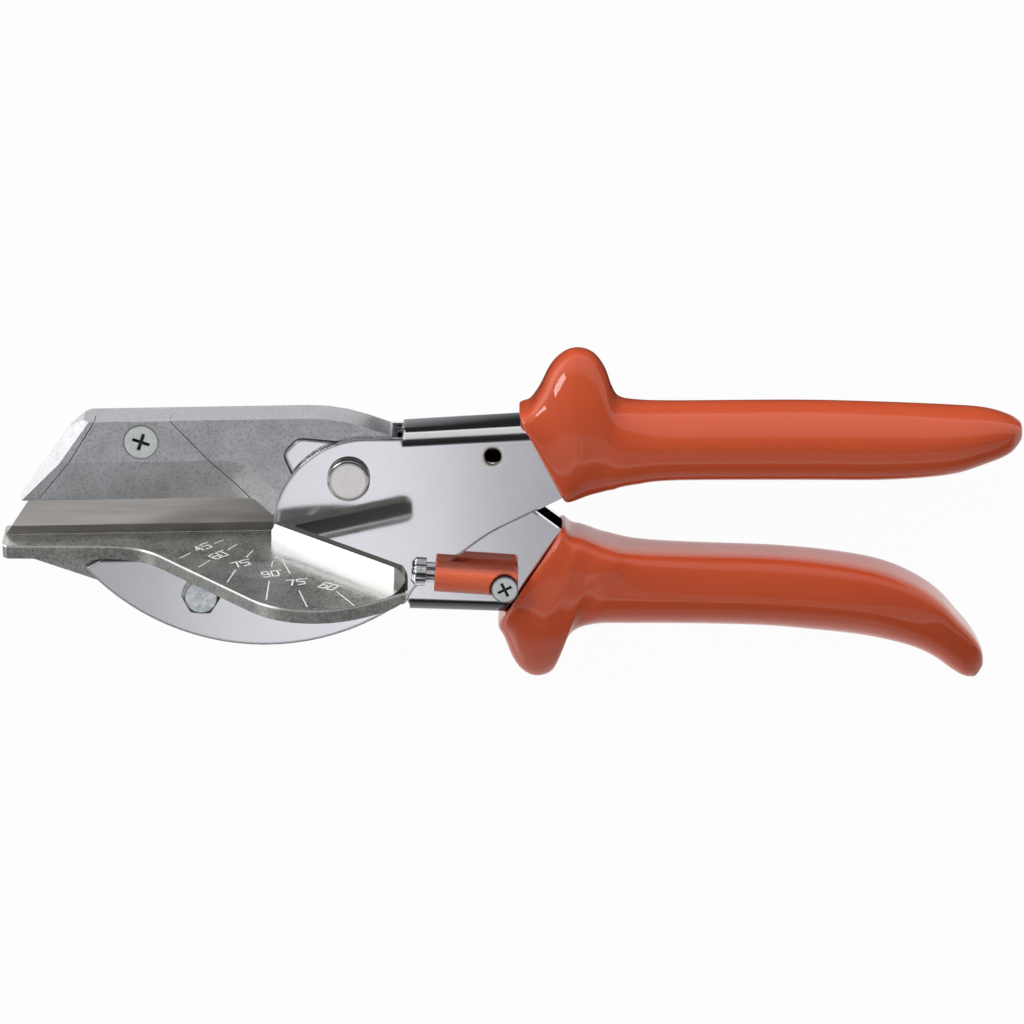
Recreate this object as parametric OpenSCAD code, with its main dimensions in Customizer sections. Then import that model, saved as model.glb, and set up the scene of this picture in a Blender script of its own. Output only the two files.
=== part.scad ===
// Mitre shears: two nested channel levers, a cast anvil table with a fence and a clamped trapezoid blade.
// Millimetres. X runs along the handles, Y across the jaws and Z along the pivot. The tool lies on its
// back at Z = 0 with closed jaws, and the pivot axis passes through the origin.

/* [Levers] */
// Thickness of the pressed sheet
sheet = 1.5; // [1.2:0.1:1.8]
// Outside width of the outer lever
outer_w = 14.8; // [14.2:0.1:15.6]
// Play between the nested levers, on each side
side_gap = 0.2; // [0.1:0.05:0.3]
// Outside bend radius of the sheet
bend_r = 3.7; // [3:0.1:4]
// Diameter of the hole for a lanyard
lanyard_d = 4; // [3:0.1:5]

/* [Pivot] */
// Diameter of the pivot shank
pivot_d = 8; // [7:0.1:9]
// Radial play of the blade lever on the shank
pivot_play = 0.05; // [0.02:0.01:0.09]
// Diameter of the round pivot head
pivot_head_d = 10; // [9.4:0.1:12]
// Height of the round pivot head
pivot_head_h = 2.2; // [1.8:0.1:4]
// Thread diameter of the pivot
pivot_thread_d = 6; // [5:0.1:6.8]
// Width across flats of the pivot nut
pivot_nut_af = 10; // [9:0.1:11]
// Height of the thin nuts on the back
nut_h = 2.7; // [2:0.1:2.9]

/* [Anvil and table] */
// Height of the anvil's cutting line below the pivot
anvil_drop = 14.95; // [14:0.05:16]
// Thickness of the table plate
table_t = 3.4; // [2.8:0.05:3.6]
// Slope of the table towards the front
table_slope = 5; // [3:0.5:7]
// Inside radius of the fence's bend
fence_r = 6; // [5:0.1:7]
// Angle that the fence turns up
fence_turn = 78; // [60:1:85]
// Diameter of the anvil bolt
anvil_bolt_d = 5; // [4:0.1:6]
// Width across flats of the anvil bolt
anvil_bolt_af = 8; // [7.5:0.1:10]
// Height of the anvil bolt's head
anvil_head_h = 3.5; // [2.5:0.1:4.5]

/* [Blade] */
// Length of the cutting edge
blade_l = 67.4; // [64:0.1:69]
// Height of the blade
blade_h = 18.6; // [17.5:0.1:18.8]
// Thickness of the blade
blade_t = 0.8; // [0.6:0.05:1]
// Slant of the blade's ends
blade_slant = 55.6; // [52:0.2:60]
// Height of the ground bevel
bevel_h = 2.2; // [1.5:0.1:3]
// Gap between the closed edge and the anvil
edge_gap = 0.05; // [0.05:0.05:0.4]
// Diameter of the pins that locate the blade
blade_pin_d = 3; // [2:0.1:3.5]

/* [Blade holder] */
// Height of the holder's top above the pivot
holder_top = 14; // [13:0.1:14.4]
// Depth of the chamfer at the holder's lower edge
chamfer_depth = 3.5; // [2.5:0.1:4]
// Gap round the seated tongue
tongue_gap = 0.35; // [0.2:0.05:0.6]
// Head diameter of the clamp screw
clamp_head_d = 8.3; // [7:0.1:9]
// Shank diameter of the clamp screw
clamp_screw_d = 4; // [3:0.1:5]
// Diameter of the holder's rivets
rivet_d = 4; // [3:0.1:4.6]

/* [Grips] */
// Width of the grips
grip_w = 20.8; // [19.6:0.1:23]
// Wall of the grips at the front rim
rim_wall = 1.2; // [0.8:0.1:1.5]

/* [Latch] */
// Diameter of the latch sleeve
sleeve_d = 7.2; // [6.8:0.1:7.8]
// Length of the sleeve from the screw to its open end
sleeve_l = 16.5; // [14:0.1:18]
// Diameter of the latch screw's shank
latch_screw_d = 4; // [3:0.1:4.5]
// Diameter of the latch screw's head
latch_head_d = 6.3; // [5.6:0.1:7]
// Width across flats of the latch nut
latch_nut_af = 7; // [6:0.1:7.4]
// Diameter of the latch pin's neck
neck_d = 3; // [2.6:0.1:3.4]
// Diameter of the latch pin's head
knob_d = 5; // [4.4:0.1:5.2]

/* [Return spring] */
// Outside diameter of the coil
spring_d = 7.6; // [7:0.1:8]
// Diameter of the spring wire
wire_d = 1.1; // [0.8:0.05:1.3]
// Number of turns
turns = 9; // [7:1:11]

/* [Hidden] */
$fn = 64;

// Clearance of parts that are seated or pressed together
seat_gap = 0.03;
// Overlap that makes a cut pass clean through a face
cut = 0.5;

// Layers across the tool, measured from the blade plane
mid_z = grip_w / 2;
outer_face = outer_w / 2;
outer_inside = outer_face - sheet;
inner_face = outer_inside - side_gap;
inner_inside = inner_face - sheet;
nut_back = -outer_face - nut_h;

// The head leans a little on the handles, about the heel of the blade
head_tilt = 1;
head_heel = [-19, -15, 0];

// Colours
chrome = [0.80, 0.80, 0.84];
casting = [0.55, 0.56, 0.57];
zinc = [0.75, 0.77, 0.80];
orange = [0.86, 0.27, 0.11];

function unit(v) = v / norm(v);

function turned(a, b) = (b - a + 900) % 360 - 180;

function arc(c, r, a0, a1, n) = [for (i = [0:n]) c + r * [cos(a0 + (a1 - a0) * i / n), sin(a0 + (a1 - a0) * i / n)]];

// One corner of an outline, rounded by the third value of its point
function corner(a, b, c) =
    let (u = unit([a.x - b.x, a.y - b.y]), v = unit([c.x - b.x, c.y - b.y]), p = [b.x, b.y], r = b[2])
    let (half = acos(max(-1, min(1, u * v))) / 2, m = p + unit(u + v) * r / sin(half))
    let (s = p + u * r / tan(half) - m, e = p + v * r / tan(half) - m)
    let (a0 = atan2(s.y, s.x), sweep = turned(a0, atan2(e.y, e.x)))
    arc(m, r, a0, a0 + sweep, max(2, ceil(abs(sweep) / 9)));

// An outline with rounded corners from points [x, y] or [x, y, radius]
function rounded(p) = [for (i = [0:len(p) - 1])
    let (q = p[i], before = p[(i + len(p) - 1) % len(p)], after = p[(i + 1) % len(p)])
    each (len(q) > 2 ? corner(before, q, after) : [q])];

// An anticlockwise outline moved outwards by d
function grown(p, d) = [for (i = [0:len(p) - 1])
    let (a = p[(i + len(p) - 1) % len(p)], b = p[i], c = p[(i + 1) % len(p)])
    let (u = unit(b - a), v = unit(c - b), n1 = [u.y, -u.x], n2 = [v.y, -v.x])
    b + d * (n1 + n2) / (1 + n1 * n2)];

// A smooth curve through a list of equal vectors, at place u
function spline(p, u) =
    let (i = min(floor(u), len(p) - 2), f = u - i)
    let (a = p[max(i - 1, 0)], b = p[i], c = p[i + 1], d = p[min(i + 2, len(p) - 1)])
    b + f * ((c - a) / 2 + f * ((a - 2.5 * b + 2 * c - d / 2) + f * (1.5 * (b - c) + (d - a) / 2)));

module at_mid() translate([0, 0, mid_z]) children();

module head() translate(head_heel) rotate([0, 0, head_tilt]) translate(-head_heel) children();

module both_sides() {
    children();
    mirror([0, 0, 1]) children();
}

// A layer between two distances from the blade plane
module layer(z0, z1) translate([0, 0, z0]) linear_extrude(z1 - z0) children();

module hex_prism(af, h) cylinder(d = af / cos(30), h = h, $fn = 6);

// Outer lever
spine_start = 12.7;
spine_kink = 46.2;
spine_y0 = 11.2;
spine_rise = 3.3;
tang_rise = -2;
tang_step = 0.3;
tang_w = outer_w - 0.2;
tang_end = 124;
cheek_top = 9.6;
nose_c = [4.2, -12.4];
nose_r = 22;
belly_c = [-20.2, 14.5];
belly_r = 55.4;
belly_from = 221;
belly_to = 305;
lens_top = -anvil_drop - table_t - outer_face * tan(table_slope) - 0.35;
lens_tip = [-58.5, lens_top - 0.75];
anvil_bolt_at = [-34.8, -28];
lanyard_at = [33.6, 5.5];
above = 25;
below = 60;

kink_y = spine_y0 + (spine_kink - spine_start) * tan(spine_rise);

function spine_y(x) = x <= spine_kink
    ? spine_y0 + (x - spine_start) * tan(spine_rise)
    : kink_y - tang_step + (x - spine_kink) * tan(tang_rise);

// Lower edge of the outer lever from the belly to the end of the tang
outer_edge = [[12.6, -31.6, 1.5], [15, -27, 6], [33, -13.2, 30], [50.6, -4.4], [58, -1.9], [66, -0.2], [76, 2.2],
    [tang_end, 3.2]];

outer_outline = rounded(concat(
    [[tang_end, above], [spine_start, above], [spine_start, cheek_top]],
    arc(nose_c, nose_r, 90, 180, 18),
    [[nose_c.x - nose_r, lens_top], lens_tip],
    arc(belly_c, belly_r, belly_from, belly_to, 24),
    outer_edge));

module rounded_top(w, r) {
    translate([-w / 2, -below]) square([w, below - r]);
    translate([-w / 2 + r, -below]) square([w - 2 * r, below]);
    for (s = [-1, 1]) translate([s * (w / 2 - r), -r]) circle(r);
}

// Cross-section of a bent channel, with its spine on top
module channel_section(w) difference() {
    rounded_top(w, bend_r);
    translate([0, -sheet]) rounded_top(w - 2 * sheet, bend_r - sheet);
}

// A straight length of channel, trimmed square at both ends
module channel_run(w, start, rise, x0, x1) intersection() {
    translate([start.x, start.y, 0]) rotate([0, 0, rise]) translate([-20, 0, 0]) rotate([0, 90, 0])
        linear_extrude(x1 - x0 + 60) channel_section(w);
    translate([x0, -3 * below, -w]) cube([x1 - x0, 6 * below, 2 * w]);
}

module outer_channel() color(chrome) at_mid() difference() {
    intersection() {
        layer(-outer_face - cut, outer_face + cut) polygon(outer_outline);
        union() {
            channel_run(outer_w, [spine_start, spine_y0], spine_rise, spine_start - 0.2, spine_kink);
            channel_run(tang_w, [spine_kink, kink_y - tang_step], tang_rise, spine_kink, tang_end);
            both_sides() translate([-100, -below, outer_inside]) cube([99.8 + spine_start, 2 * below, sheet]);
        }
    }
    cylinder(d = pivot_d + 2 * seat_gap, h = 2 * outer_w, center = true);
    translate(anvil_bolt_at) cylinder(d = anvil_bolt_d + 2 * seat_gap, h = 2 * outer_w, center = true);
    translate(lanyard_at) cylinder(d = lanyard_d, h = 2 * outer_w, center = true);
}

// Grips: a loft through stations of top point, bottom point, half width, lean and squareness.
// A positive lean narrows the section towards the top, a negative one towards the bottom.
grip_half = grip_w / 2;
ring_points = 24;
rings_per_station = 2;
grip_fit = 0.1;

upper_rim_half = outer_face + rim_wall;
upper_stations = [
    [39.6, 14.9, 50.6, -6.2, upper_rim_half, 0, 6],
    [40.6, 15.5, 51.4, -6.4, grip_half - 1.2, 0.05, 5.5],
    [42.4, 16.5, 52.2, -6.3, grip_half - 0.9, 0.15, 5],
    [44.6, 20.0, 53.2, -6.1, grip_half - 0.6, 0.3, 4.5],
    [47.2, 25.4, 54.4, -5.8, grip_half - 0.3, 0.4, 4],
    [50.4, 28.6, 55.8, -5.4, grip_half, 0.46, 3.6],
    [53.8, 29.5, 57.2, -5.05, grip_half, 0.48, 3.4],
    [57.2, 28.2, 58.8, -4.7, grip_half, 0.46, 3.2],
    [59.8, 24.6, 60.4, -4.3, grip_half, 0.4, 3],
    [61.5, 19.8, 62.0, -4.0, grip_half, 0.25, 2.8],
    [63.2, 17.4, 63.6, -3.5, grip_half, 0.14, 2.6],
    [67.0, 16.75, 67.0, -3.05, grip_half, 0.14, 2.3],
    [76.0, 16.6, 76.0, -2.15, grip_half, 0.2, 2.1],
    [105.0, 16.8, 105.0, -2.0, grip_half, 0.22, 2.1],
    [125.0, 16.3, 125.0, -2.0, grip_half - 0.1, 0.2, 2.1],
    [140.0, 15.6, 140.0, -0.75, grip_half - 0.5, 0.15, 2.1],
    [148.5, 14.95, 148.5, 1.8, grip_half - 1.9, 0.1, 2.1],
    [154.5, 13.2, 154.5, 4.5, grip_half - 4.2, 0, 2.3],
    [157.4, 11.5, 157.4, 7.9, grip_half - 7.4, 0, 2.3]];
upper_tip = [158.4, 9.8];

// Pocket for the tang: places along the spine and the lower edge of the lever
upper_pocket = [
    [41.2, spine_y(41.2), 50.0, -4.7],
    [spine_kink, spine_y(spine_kink), 58, -1.9],
    [66, spine_y(66), 66, -0.2],
    [76, spine_y(76), 76, 2.2],
    [tang_end, spine_y(tang_end), tang_end, 3.2]];

lower_rim_half = inner_face + side_gap + sheet + rim_wall;
lower_stations = [
    [50.2, -12.0, 34.9, -35.9, lower_rim_half, 0.1, 3.4],
    [51.0, -12.4, 34.8, -38.0, grip_half - 1.3, 0, 3.4],
    [52.0, -13.4, 36.2, -40.7, grip_half - 0.8, -0.15, 3.4],
    [53.2, -14.0, 38.1, -45.7, grip_half - 0.4, -0.3, 3.4],
    [54.6, -14.2, 40.5, -49.2, grip_half, -0.42, 3.3],
    [56.0, -14.6, 43.9, -50.8, grip_half, -0.48, 3.2],
    [57.6, -15.2, 47.8, -49.2, grip_half, -0.46, 3.1],
    [59.4, -15.9, 49.7, -43.4, grip_half, -0.36, 3],
    [61.6, -16.5, 52.6, -39.0, grip_half, -0.2, 2.9],
    [65.0, -17.2, 57.3, -37.2, grip_half, 0.05, 2.6],
    [72.0, -17.8, 67.0, -37.1, grip_half, 0.15, 2.45],
    [84.0, -18.2, 83.0, -37.2, grip_half, 0.22, 2.4],
    [100.0, -18.7, 98.0, -37.7, grip_half, 0.25, 2.35],
    [114.0, -20.0, 110.0, -38.9, grip_half, 0.22, 2.2],
    [125.5, -22.2, 119.5, -40.1, grip_half - 0.3, 0.16, 2.1],
    [134.0, -26.0, 127.0, -41.5, grip_half - 1.0, 0.1, 2.2],
    [140.0, -30.5, 133.2, -43.3, grip_half - 2.0, 0, 2.3],
    [144.5, -35.6, 137.9, -45.7, grip_half - 3.2, 0, 2.3],
    [147.8, -39.8, 142.0, -48.8, grip_half - 4.6, 0, 2.3],
    [149.7, -43.6, 145.2, -50.8, grip_half - 6.0, 0, 2.3],
    [150.0, -47.4, 148.0, -51.2, grip_half - 7.9, 0, 2.3]];
lower_tip = [149.6, -49.8];

function rounded_ring(t, squareness) = let (c = cos(t), s = sin(t), e = 2 / squareness)
    [sign(c) * pow(abs(c), e), sign(s) * pow(abs(s), e)];

function square_ring(t) = let (c = cos(t), s = sin(t)) [c, s] / max(abs(c), abs(s));

function ring(top, bottom, half, lean, q) =
    let (m = (top + bottom) / 2 + (top - bottom) / 2 * q.y)
    [m.x, m.y, half * q.x * (1 - max(0, lean * q.y))];

// A grip with a closed end: outer rings, tip, pocket rings and the pocket's end
module grip(stations, tip, pocket, pocket_half) {
    n = ring_points;
    angles = [for (j = [0:n - 1]) 360 * j / n];
    last = (len(stations) - 1) * rings_per_station;
    outer = [for (i = [0:last]) let (s = spline(stations, i / rings_per_station)) for (t = angles)
        ring([s[0], s[1]], [s[2], s[3]], s[4], s[5], rounded_ring(t, s[6]))];
    inner = [for (s = pocket) for (t = angles)
        let (q = square_ring(t))
        ring([s[0], s[1] + grip_fit], [s[2], s[3] - grip_fit], pocket_half + grip_fit, 0, q)];
    tip_at = len(outer);
    in0 = tip_at + 1;
    in_last = in0 + (len(pocket) - 1) * n;
    floor_at = in0 + len(inner);
    floor_point = [pocket[len(pocket) - 1][0], (pocket[len(pocket) - 1][1] + pocket[len(pocket) - 1][3]) / 2, 0];
    outer_faces = [for (i = [0:last - 1]) for (j = [0:n - 1])
        let (k = (j + 1) % n, a = i * n + j, b = i * n + k, c = b + n, d = a + n)
        each [[a, b, c], [a, c, d]]];
    tip_faces = [for (j = [0:n - 1]) [last * n + j, last * n + (j + 1) % n, tip_at]];
    rim_faces = [for (j = [0:n - 1])
        let (k = (j + 1) % n)
        each [[j, in0 + j, in0 + k], [j, in0 + k, k]]];
    inner_faces = [for (i = [0:len(pocket) - 2]) for (j = [0:n - 1])
        let (k = (j + 1) % n, a = in0 + i * n + j, b = in0 + i * n + k, c = b + n, d = a + n)
        each [[a, c, b], [a, d, c]]];
    floor_faces = [for (j = [0:n - 1]) [floor_at, in_last + (j + 1) % n, in_last + j]];
    polyhedron(
        concat(outer, [[tip.x, tip.y, 0]], inner, [floor_point]),
        concat(outer_faces, tip_faces, rim_faces, inner_faces, floor_faces));
}

module upper_grip() color(orange) at_mid() grip(upper_stations, upper_tip, upper_pocket, outer_face);

module lower_grip() color(orange) at_mid() grip(lower_stations, lower_tip, lower_pocket, inner_face);

// Inner lever
inner_spine_start = 14;
inner_spine_y = -33.5;
inner_fall = 1.85;
inner_end = 112;
tongue_top = 8.4;

function inner_spine(x) = inner_spine_y - (x - inner_spine_start) * tan(inner_fall);

inner_edge = [[inner_end, -23.6], [80, -21.2], [66, -19.8], [56, -17.6], [49.4, -13.1, 6], [43.5, -8.6, 20],
    [28, 2, 20], [14, tongue_top, 14]];

inner_outline = rounded(concat(
    [[inner_spine_start, -below], [inner_end, -below]],
    inner_edge,
    [[-3.4, tongue_top, 8], [-11.8, 9.2, 2.6], [-15.2, 5.6, 2.4], [-13.2, 0.8], [-9.5, -5.5, 6], [-3, -13],
    [inner_spine_start, -31, 3]]));

lower_pocket = [
    [48.2, -13.6, 35.4, inner_spine(35.4)],
    [56, -17.6, 50, inner_spine(50)],
    [66, -19.8, 64, inner_spine(64)],
    [80, -21.2, 80, inner_spine(80)],
    [inner_end, -23.6, inner_end, inner_spine(inner_end)]];

rivets_at = [[-7, 3.6], [3.5, -7.8]];
latch_at = [36.4, -25.3];

module rivet_holes() for (p = rivets_at)
    translate(p) cylinder(d = rivet_d + 2 * seat_gap, h = 2 * outer_w, center = true);

module inner_channel() color(chrome) at_mid() difference() {
    intersection() {
        layer(-inner_face - cut, inner_face + cut) polygon(inner_outline);
        union() {
            mirror([0, 1, 0]) channel_run(2 * inner_face, [inner_spine_start, -inner_spine_y], inner_fall,
                inner_spine_start - 0.2, inner_end);
            both_sides() translate([-100, -below, inner_inside])
                cube([99.8 + inner_spine_start, 2 * below, sheet]);
        }
    }
    cylinder(d = pivot_d + 2 * pivot_play, h = 2 * outer_w, center = true);
    rivet_holes();
    translate(latch_at) cylinder(d = latch_screw_d + 2 * seat_gap, h = outer_w);
}

// Pivot
module pivot_bolt() color(zinc) at_mid() {
    bevel = 0.3;
    translate([0, 0, outer_face]) cylinder(d = pivot_head_d, h = pivot_head_h - bevel);
    translate([0, 0, outer_face + pivot_head_h - bevel])
        cylinder(d1 = pivot_head_d, d2 = pivot_head_d - 1.4, h = bevel);
    translate([0, 0, -outer_face]) cylinder(d = pivot_d, h = outer_w);
    translate([0, 0, -mid_z]) cylinder(d = pivot_thread_d, h = mid_z);
}

module pivot_nut() color(zinc) at_mid() translate([0, 0, nut_back]) difference() {
    hex_prism(pivot_nut_af, nut_h);
    translate([0, 0, -cut]) cylinder(d = pivot_thread_d + 2 * seat_gap, h = nut_h + 2 * cut);
}

// Anvil bolt and nut
module anvil_bolt() color(zinc) at_mid() translate(anvil_bolt_at) {
    translate([0, 0, outer_face]) intersection() {
        rotate([0, 0, -3]) hex_prism(anvil_bolt_af, anvil_head_h);
        cylinder(d1 = anvil_bolt_af + 2 * anvil_head_h + 1, d2 = anvil_bolt_af - 0.3, h = anvil_head_h);
    }
    translate([0, 0, nut_back]) cylinder(d = anvil_bolt_d, h = outer_face - nut_back);
}

module anvil_nut() color(zinc) at_mid() translate([anvil_bolt_at.x, anvil_bolt_at.y, nut_back]) difference() {
    hex_prism(anvil_bolt_af, nut_h);
    translate([0, 0, -cut]) cylinder(d = anvil_bolt_d + 2 * seat_gap, h = nut_h + 2 * cut);
}

// Anvil table. Its plan is drawn in X and in the distance from the blade plane down the slope.
table_tip = -81.6;
table_gap = 0.3;
wing_from = outer_face + table_gap;
wing_left = nose_c.x - nose_r;
wing_end = 13.7;
fence_end = 14.2;
fence_corner_r = 3.5;
table_front = 6.4;
table_throat = [-48.9, 8.3, 17];
table_shoulder = [-10.1, 53.8, 20];
table_corner = [wing_end, 38.5];
fence_from = [-17.6, 7.4];
fence_to = [12.5, 36];
fence_dir = unit(fence_to - fence_from);
fence_angle = atan2(fence_dir.y, fence_dir.x);
fence_foot = fence_from + fence_r * sin(fence_turn) * [-fence_dir.y, fence_dir.x];
fence_run = norm(fence_to - fence_from);
foot_slope = fence_dir.y / fence_dir.x;

fence_left = wing_left - table_gap;
fence_back = 0.3;
front_slope = (table_shoulder.y - table_corner.y) / (table_shoulder.x - table_corner.x);
fence_end_s = fence_from.y + (wing_end - fence_from.x) * foot_slope + 0.4;

// Where the fence's foot, 0.2 inside the bend, runs out through the table's front edge
function foot_s(x) = fence_foot.y - 0.2 + (x - fence_foot.x) * foot_slope;
foot_out = (table_corner.y - table_corner.x * front_slope - foot_s(0)) / (foot_slope - front_slope);

table_plan = rounded([
    [table_tip, -inner_face, 1], [fence_left, -inner_face], [fence_left, foot_s(fence_left)],
    [foot_out, foot_s(foot_out)], table_shoulder, table_throat, [table_tip, table_front, 2]]);

fence_limit = [
    [fence_left, wing_from], [fence_end, wing_from],
    [fence_end, table_corner.y + (fence_end - wing_end) * front_slope - fence_back],
    [table_shoulder.x, table_shoulder.y - fence_back], [fence_left, 45.7]];

// Slanted end of the fence
fence_trim = [
    [wing_end, fence_end_s], [wing_end + 20, fence_end_s - 20], [wing_end + 20, 60], [wing_end, 60]];

// Front view of the fence's end, with its rounded upper corner
fence_height = fence_r * (1 - cos(fence_turn));
fence_view = rounded([
    [-60, -fence_height - 0.1], [fence_end + 0.1, -fence_height - 0.1, fence_corner_r], [fence_end + 0.1, 20],
    [-60, 20]]);

web_outline = rounded([
    [-20.5, -anvil_drop - 1.6], [-79, -anvil_drop - 1.6], [-79, -17.6], [-74.5, -19.1], [-58.6, -25, 40],
    [-43, -33, 30], [-29, -37.2, 20], [-20.5, -37]]);

module on_table() translate([0, -anvil_drop, 0]) rotate([90 + table_slope, 0, 0]) children();

// Cross-section of the fence: the plate turned up round its bend
module fence_section() intersection() {
    difference() {
        circle(fence_r + table_t);
        circle(fence_r);
    }
    polygon([[0, 0], [0, 4 * fence_r], [-8 * fence_r, 4 * fence_r],
        [-8 * fence_r * sin(fence_turn), 8 * fence_r * cos(fence_turn)]]);
}

module fence() on_table() difference() {
    intersection() {
        translate([fence_foot.x, fence_foot.y, -fence_r]) rotate([0, 0, fence_angle]) translate([-20, 0, 0])
            rotate([90, 0, 90]) linear_extrude(fence_run + 40) fence_section();
        translate([0, 0, -40]) linear_extrude(80) polygon(fence_limit);
        translate([0, 80, 0]) rotate([90, 0, 0]) linear_extrude(160) polygon(fence_view);
    }
    translate([0, 0, -40]) linear_extrude(80) polygon(fence_trim);
}

module anvil_table() color(casting) at_mid() difference() {
    head() union() {
        on_table() linear_extrude(table_t) polygon(table_plan);
        fence();
        layer(-inner_face, inner_face) polygon(web_outline);
    }
    translate(anvil_bolt_at) cylinder(d = anvil_bolt_d + 2 * seat_gap, h = 3 * outer_w, center = true);
}

// Blade, in the tilted head
edge_y = -anvil_drop + edge_gap;
blade_left = -81.2;
blade_inset = blade_h / tan(blade_slant);
blade_outline = [[blade_left, edge_y], [blade_left + blade_l, edge_y],
    [blade_left + blade_l - blade_inset, edge_y + blade_h], [blade_left + blade_inset, edge_y + blade_h]];
blade_section = [[edge_y + blade_h + cut, -blade_t / 2], [edge_y + blade_h + cut, blade_t / 2],
    [edge_y + bevel_h, blade_t / 2], [edge_y, 0.05], [edge_y, -0.05], [edge_y + bevel_h, -blade_t / 2]];
pins_at = [[-60, -1.5], [-39, -1.5]];
pin_deep = -3.5;
pin_front = 2.4;

module blade_pin_shape(d, z0, z1) for (p = pins_at) translate([p.x, p.y, z0]) cylinder(d = d, h = z1 - z0);

module blade() color([0.62, 0.61, 0.60]) at_mid() head() difference() {
    intersection() {
        layer(-blade_t, blade_t) polygon(blade_outline);
        translate([blade_left - cut, 0, 0]) rotate([90, 0, 90]) linear_extrude(blade_l + 2 * cut)
            polygon(blade_section);
    }
    blade_pin_shape(blade_pin_d + 2 * seat_gap, -blade_t, blade_t);
}

module blade_pins() color(zinc) at_mid() head() blade_pin_shape(blade_pin_d, pin_deep, pin_front);

// Blade holder, in the tilted head
step_y = 4;
foot_y = -6;
chamfer_slope = chamfer_depth / (step_y - foot_y);
chamfer_turn = [-24.4, step_y];
chamfer_r = 9.5;
chamfer_swing = 45;
chamfer_steps = 6;
chamfer_c = chamfer_turn - chamfer_r * [tan(chamfer_swing / 2), 1];
blade_back = -blade_t / 2 - seat_gap;
blade_front = blade_t / 2 + seat_gap;

holder_outline = rounded([
    [-77.9, foot_y, 0.8], [-22.1, foot_y], [-16.6, -11.2], [-8, -12, 4], [4, -11.5, 5], [10, -5, 5],
    [11.6, 5, 3], [10.4, 9.4, 1.2], [-2, holder_top, 40], [-61.4, holder_top], [-64.7, 11.8]]);

clamp_outline = [[-73, foot_y], [-23, foot_y], [-32.3, step_y], [-41.3, holder_top], [-58.5, holder_top],
    [-65, step_y]];
// Lip of the clamp that hooks over the back half of the holder
lip_h = 2.2;
lip_back = -inner_face + 1.2;
lip_lean = [6.5, 9] / (holder_top - step_y) * lip_h;
lip_outline = [[-58 - lip_lean.x, holder_top - lip_h], [-41.8 + lip_lean.y, holder_top - lip_h],
    [-41.8, holder_top], [-58, holder_top]];
clamp_screw_at = [-48, 8.9];
clamp_screw_end = -3.2;
clamp_gap = 0.2;
sink_h = (clamp_head_d - clamp_screw_d) / 2;

// Wedge that slopes away from a line in the front face, towards the right of its direction
module wedge(from, heading, slope) translate([from.x, from.y, 0]) rotate([0, 0, heading])
    translate([-120, 0, 0]) rotate([90, 0, 90]) linear_extrude(240)
    polygon([[0, inner_face], [0, inner_face + 9], [-60, inner_face + 9], [-60, inner_face - 60 * slope]]);

// The sloped face of the front chamfer, which swings down in facets where it turns towards the pivot
module chamfer() intersection_for(i = [0:chamfer_steps]) {
    a = -chamfer_swing * i / chamfer_steps;
    wedge(chamfer_c + chamfer_r * [-sin(a), cos(a)], a, chamfer_slope);
}

// The bevel at the free end of the holder, which meets its twin in a ridge at the blade plane
module end_bevel() wedge([-66.8, step_y + 0.7], 234, (inner_face - 0.8) / 2.7);

module clamp_screw_hole() translate([clamp_screw_at.x, clamp_screw_at.y, 0]) {
    translate([0, 0, clamp_screw_end]) cylinder(d = clamp_screw_d + 2 * seat_gap, h = outer_w);
    translate([0, 0, inner_face - sink_h])
        cylinder(d1 = clamp_screw_d + 2 * seat_gap, d2 = clamp_head_d + 2 * seat_gap, h = sink_h);
    translate([0, 0, inner_face]) cylinder(d = clamp_head_d + 2 * seat_gap, h = cut);
}

module blade_holder() color(casting) at_mid() difference() {
    head() difference() {
        layer(-inner_face, inner_face) polygon(holder_outline);
        both_sides() chamfer();
        both_sides() end_bevel();
        layer(blade_front, inner_face + cut) polygon(grown(clamp_outline, clamp_gap));
        layer(lip_back - seat_gap, blade_front + cut) polygon(grown(lip_outline, seat_gap));
        layer(blade_back, blade_front + cut) polygon(grown(blade_outline, seat_gap));
        clamp_screw_hole();
        blade_pin_shape(blade_pin_d + 2 * seat_gap, pin_deep, pin_front);
    }
    both_sides() layer(inner_inside - seat_gap, inner_face + cut) polygon(grown(inner_outline, tongue_gap));
    cylinder(d = pivot_d + 2 * pivot_play, h = 2 * outer_w, center = true);
    rivet_holes();
}

module blade_clamp() color([0.60, 0.61, 0.63]) at_mid() head() difference() {
    union() {
        layer(blade_front, inner_face) polygon(clamp_outline);
        layer(lip_back, blade_front + cut) polygon(lip_outline);
    }
    chamfer();
    clamp_screw_hole();
    blade_pin_shape(blade_pin_d + 2 * seat_gap, -blade_t, pin_front + seat_gap);
}

module cross_recess(size, depth) for (a = [0, 90]) rotate([0, 0, a])
    translate([-size / 2, -size / 10, -depth]) cube([size, size / 5, depth + cut]);

module clamp_screw() color(zinc) at_mid() head() translate([clamp_screw_at.x, clamp_screw_at.y, 0]) difference() {
    union() {
        translate([0, 0, clamp_screw_end + seat_gap]) cylinder(d = clamp_screw_d, h = inner_face - clamp_screw_end - 1);
        translate([0, 0, inner_face - sink_h]) cylinder(d1 = clamp_screw_d, d2 = clamp_head_d, h = sink_h);
    }
    translate([0, 0, inner_face]) rotate([0, 0, -20]) cross_recess(4.2, 1.2);
}

module holder_rivets() color(zinc) at_mid() for (p = rivets_at)
    translate(p) cylinder(d = rivet_d, h = 2 * inner_face, center = true);

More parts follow.
